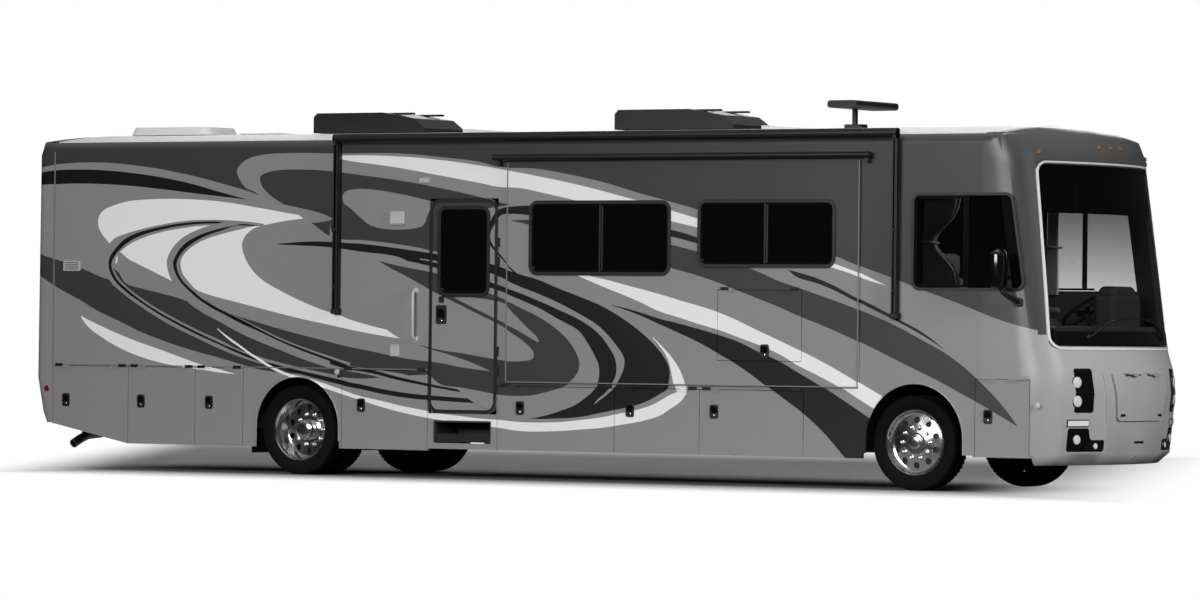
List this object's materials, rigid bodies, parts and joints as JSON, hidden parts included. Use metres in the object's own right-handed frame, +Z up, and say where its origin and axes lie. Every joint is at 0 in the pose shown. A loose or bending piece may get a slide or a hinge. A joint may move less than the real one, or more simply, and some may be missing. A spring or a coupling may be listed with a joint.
{
  "type": "motorhome",
  "caption": "Full-size front-engined motorhome with sliding room bays, hinged storage doors, entry door and step, steered front wheels and twin rear wheels.",
  "frame": {"origin": "on the ground, at the middle of the overall box", "axes": "+X forward, +Y left, +Z up"},
  "size_m": [11.68, 3.06, 3.57],
  "materials": {
    "body_paint": "gloss automotive paint, silver grey with darker, black and white bands",
    "lower_paint": "gloss automotive paint on the storage doors and panels",
    "roof_white": "pale fibreglass roof skin and covers",
    "black_trim": "black textured plastic",
    "dark_glass": "dark tinted glass",
    "clear_glass": "clear laminated glass",
    "lamp_lens": "clear moulded lens",
    "red_lens": "red and amber moulded lens",
    "tyre_rubber": "black tyre with ribbed tread",
    "polished_alloy": "polished alloy wheel",
    "chassis_black": "black chassis paint",
    "cast_dark": "raw cast iron with grime",
    "galvanised": "plain coated steel",
    "tub_plastic": "dark moulded compartment liner",
    "floor_vinyl": "cabin floor",
    "dash_plastic": "soft grained dashboard skin",
    "seat_cloth": "woven seat cloth",
    "curtain_cloth": "gathered curtain cloth",
    "rubber_flap": "black rubber sheet"
  },
  "bodies": {
    "root": {"body_glass": "dark_glass", "cab_curtains": "curtain_cloth", "cab_seats": "seat_cloth", "cab_window_frames": "black_trim", "chassis_frame": "chassis_black", "dashboard": "dash_plastic", "door_mirrors": "black_trim", "drive_shaft": "chassis_black", "engine_block": "cast_dark", "exhaust_pipe": "galvanised", "floor_deck": "floor_vinyl", "front_axle": "chassis_black", "front_cap": "body_paint", "fuel_tank": "chassis_black", "head_lamps": "lamp_lens", "hitch_receiver": "chassis_black", "left_wall": "body_paint", "lower_panels": "lower_paint", "mud_flaps": "rubber_flap", "patio_awning": "black_trim", "rear_axle": "chassis_black", "rear_cap": "body_paint", "right_wall": "body_paint", "roof_air_units": "black_trim", "roof_fittings": "roof_white", "roof_shell": "roof_white", "storage_compartments": "tub_plastic", "tail_lamps": "red_lens", "windshield": "clear_glass"},
    "front_roller_right": {"front_tyre_right": "tyre_rubber", "front_wheel_right": "polished_alloy"},
    "front_roller_left": {"front_tyre_left": "tyre_rubber", "front_wheel_left": "polished_alloy"},
    "rear_roller_right": {"rear_tyres_right": "tyre_rubber", "rear_wheels_right": "polished_alloy"},
    "rear_roller_left": {"rear_tyres_left": "tyre_rubber", "rear_wheels_left": "polished_alloy"},
    "knuckle_right": {"steering_knuckle_right": "cast_dark"},
    "knuckle_left": {"steering_knuckle_left": "cast_dark"},
    "hood_panel": {"hood": "body_paint"},
    "door_leaf": {"entry_door": "body_paint", "entry_door_glass": "dark_glass"},
    "step_tread": {"entry_step": "chassis_black"},
    "bay_right": {"room_bay_right": "body_paint", "room_bay_right_glass": "dark_glass"},
    "bay_left": {"room_bay_left": "body_paint", "room_bay_left_glass": "dark_glass"},
    "cupboard_panel": {"outer_cupboard_door": "body_paint"},
    "steering_rim": {"steering_wheel": "dash_plastic"},
    "locker_left_1_panel": {"locker_left_1": "lower_paint"},
    "locker_left_2_panel": {"locker_left_2": "lower_paint"},
    "locker_left_3_panel": {"locker_left_3": "lower_paint"},
    "locker_right_1_panel": {"locker_right_1": "lower_paint"},
    "locker_right_2_panel": {"locker_right_2": "lower_paint"},
    "locker_right_3_panel": {"locker_right_3": "lower_paint"},
    "locker_right_4_panel": {"locker_right_4": "lower_paint"},
    "locker_right_5_panel": {"locker_right_5": "lower_paint"},
    "locker_right_6_panel": {"locker_right_6": "lower_paint"},
    "locker_right_7_panel": {"locker_right_7": "lower_paint"},
    "locker_right_8_panel": {"locker_right_8": "lower_paint"}
  },
  "joints": [
    {"name": "steer_right", "type": "hinge", "parent": "root", "child": "knuckle_right", "pos_m": [4.09, -0.895, 0.432], "axis": [0, 0, 1], "range_deg": [-35, 35]},
    {"name": "roll_front_right", "type": "hinge", "parent": "knuckle_right", "child": "front_roller_right", "pos_m": [4.09, -1.05, 0.432], "axis": [0, 1, 0], "continuous": true},
    {"name": "roll_rear_right", "type": "hinge", "parent": "root", "child": "rear_roller_right", "pos_m": [-2.65, -0.94, 0.432], "axis": [0, 1, 0], "continuous": true},
    {"name": "steer_left", "type": "hinge", "parent": "root", "child": "knuckle_left", "pos_m": [4.09, 0.895, 0.432], "axis": [0, 0, 1], "range_deg": [-35, 35]},
    {"name": "roll_front_left", "type": "hinge", "parent": "knuckle_left", "child": "front_roller_left", "pos_m": [4.09, 1.05, 0.432], "axis": [0, 1, 0], "continuous": true},
    {"name": "roll_rear_left", "type": "hinge", "parent": "root", "child": "rear_roller_left", "pos_m": [-2.65, 0.94, 0.432], "axis": [0, 1, 0], "continuous": true},
    {"name": "steering_turn", "type": "hinge", "parent": "root", "child": "steering_rim", "pos_m": [4.86, 0.62, 1.64], "axis": [-0.6157, 0, 0.788], "range_deg": [-560, 560]},
    {"name": "hood_lift", "type": "hinge", "parent": "root", "child": "hood_panel", "pos_m": [5.835, 0, 1.0725], "axis": [0, -1, 0], "range_deg": [0, 75]},
    {"name": "entry_door_swing", "type": "hinge", "parent": "root", "child": "door_leaf", "pos_m": [-0.3365, -1.2885, 1.6], "axis": [0, 0, 1], "range_deg": [0, 90]},
    {"name": "entry_step_slide", "type": "slide", "parent": "root", "child": "step_tread", "axis": [0, -1, 0], "range_m": [0, 0.26]},
    {"name": "bay_slide_right", "type": "slide", "parent": "root", "child": "bay_right", "axis": [0, -1, 0], "range_m": [0, 0.74]},
    {"name": "bay_slide_left", "type": "slide", "parent": "root", "child": "bay_left", "axis": [0, 1, 0], "range_m": [0, 0.74]},
    {"name": "locker_right_1_lift", "type": "hinge", "parent": "root", "child": "locker_right_1_panel", "pos_m": [-5.1035, -1.2885, 1.0155], "axis": [-1, 0, 0], "range_deg": [0, 84]},
    {"name": "locker_right_2_lift", "type": "hinge", "parent": "root", "child": "locker_right_2_panel", "pos_m": [-4.2375, -1.2885, 1.0155], "axis": [-1, 0, 0], "range_deg": [0, 84]},
    {"name": "locker_right_3_lift", "type": "hinge", "parent": "root", "child": "locker_right_3_panel", "pos_m": [-3.5465, -1.2885, 1.0155], "axis": [-1, 0, 0], "range_deg": [0, 84]},
    {"name": "locker_right_4_lift", "type": "hinge", "parent": "root", "child": "locker_right_4_panel", "pos_m": [-1.609, -1.2885, 1.0155], "axis": [-1, 0, 0], "range_deg": [0, 84]},
    {"name": "locker_right_5_lift", "type": "hinge", "parent": "root", "child": "locker_right_5_panel", "pos_m": [0.323, -1.2885, 0.8825], "axis": [-1, 0, 0], "range_deg": [0, 84]},
    {"name": "locker_right_6_lift", "type": "hinge", "parent": "root", "child": "locker_right_6_panel", "pos_m": [1.4325, -1.2885, 0.8825], "axis": [-1, 0, 0], "range_deg": [0, 84]},
    {"name": "locker_right_7_lift", "type": "hinge", "parent": "root", "child": "locker_right_7_panel", "pos_m": [2.447, -1.2885, 0.8825], "axis": [-1, 0, 0], "range_deg": [0, 84]},
    {"name": "locker_right_8_lift", "type": "hinge", "parent": "root", "child": "locker_right_8_panel", "pos_m": [5.045, -1.2885, 1.0155], "axis": [-1, 0, 0], "range_deg": [0, 84]},
    {"name": "locker_left_1_lift", "type": "hinge", "parent": "root", "child": "locker_left_1_panel", "pos_m": [-3.951, 1.2885, 1.0155], "axis": [1, 0, 0], "range_deg": [0, 84]},
    {"name": "locker_left_2_lift", "type": "hinge", "parent": "root", "child": "locker_left_2_panel", "pos_m": [-0.3, 1.2885, 0.8825], "axis": [1, 0, 0], "range_deg": [0, 84]},
    {"name": "locker_left_3_lift", "type": "hinge", "parent": "root", "child": "locker_left_3_panel", "pos_m": [1.6, 1.2885, 0.8825], "axis": [1, 0, 0], "range_deg": [0, 84]},
    {"name": "cupboard_lift", "type": "hinge", "parent": "bay_right", "child": "cupboard_panel", "pos_m": [2.537, -1.3105, 1.8025], "axis": [-1, 0, 0], "range_deg": [0, 88]}
  ],
  "couplings": [
    {"joint": "steer_right", "follows": "steer_left", "ratio": 1},
    {"joint": "steering_turn", "follows": "steer_left", "ratio": 16}
  ]
}
